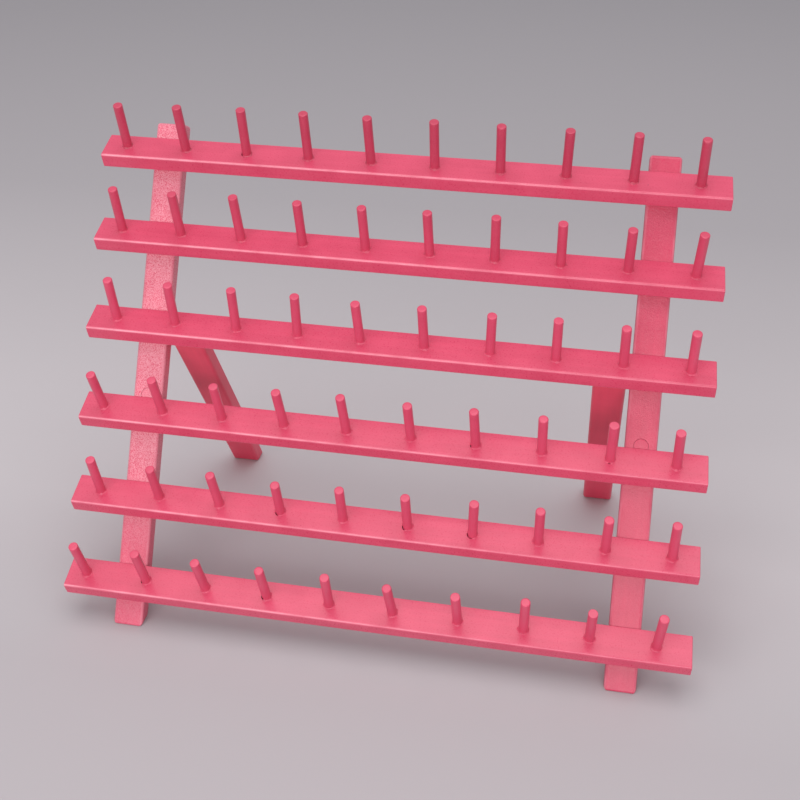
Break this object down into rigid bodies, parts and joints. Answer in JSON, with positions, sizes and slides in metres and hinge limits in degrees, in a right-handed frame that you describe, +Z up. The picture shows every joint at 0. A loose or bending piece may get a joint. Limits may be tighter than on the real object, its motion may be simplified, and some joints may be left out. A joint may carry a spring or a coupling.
{
  "type": "thread rack",
  "caption": "Folding painted wooden rack for thread spools: leaning uprights carry rows of pegged slats, and two rear legs swing out behind to stand it up.",
  "frame": {"origin": "on the floor under the middle of the rack's box, legs open", "axes": "+X along the slats to the right of someone facing the pegs, -Y towards them, +Z up"},
  "size_m": [0.4, 0.2092, 0.3128],
  "materials": {
    "painted_wood": "satin spray paint over smooth wood, faint orange peel",
    "zinc_steel": "zinc plated, satin"
  },
  "bodies": {
    "rack_frame": {"peg_slat_1": "painted_wood", "peg_slat_2": "painted_wood", "peg_slat_3": "painted_wood", "peg_slat_4": "painted_wood", "peg_slat_5": "painted_wood", "peg_slat_6": "painted_wood", "upright_left": "painted_wood", "front_plug_left": "painted_wood", "pivot_bolt_left": "zinc_steel", "leg_spacer_left": "zinc_steel", "nut_washer_left": "zinc_steel", "pivot_nut_left": "zinc_steel", "slat_screw_left_1": "zinc_steel", "slat_screw_left_2": "zinc_steel", "slat_screw_left_3": "zinc_steel", "slat_screw_left_4": "zinc_steel", "slat_screw_left_5": "zinc_steel", "slat_screw_left_6": "zinc_steel", "upright_right": "painted_wood", "front_plug_right": "painted_wood", "pivot_bolt_right": "zinc_steel", "leg_spacer_right": "zinc_steel", "nut_washer_right": "zinc_steel", "pivot_nut_right": "zinc_steel", "slat_screw_right_1": "zinc_steel", "slat_screw_right_2": "zinc_steel", "slat_screw_right_3": "zinc_steel", "slat_screw_right_4": "zinc_steel", "slat_screw_right_5": "zinc_steel", "slat_screw_right_6": "zinc_steel"},
    "rear_leg_left": {"leg_left": "painted_wood"},
    "rear_leg_right": {"leg_right": "painted_wood"}
  },
  "joints": [
    {"name": "leg_fold_left", "type": "hinge", "parent": "rack_frame", "child": "rear_leg_left", "pos_m": [-0.13715, -0.00242, 0.16675], "axis": [-1, 0, 0], "range_deg": [0, 60]},
    {"name": "leg_fold_right", "type": "hinge", "parent": "rack_frame", "child": "rear_leg_right", "pos_m": [0.13715, -0.00242, 0.16675], "axis": [-1, 0, 0], "range_deg": [0, 60]}
  ]
}
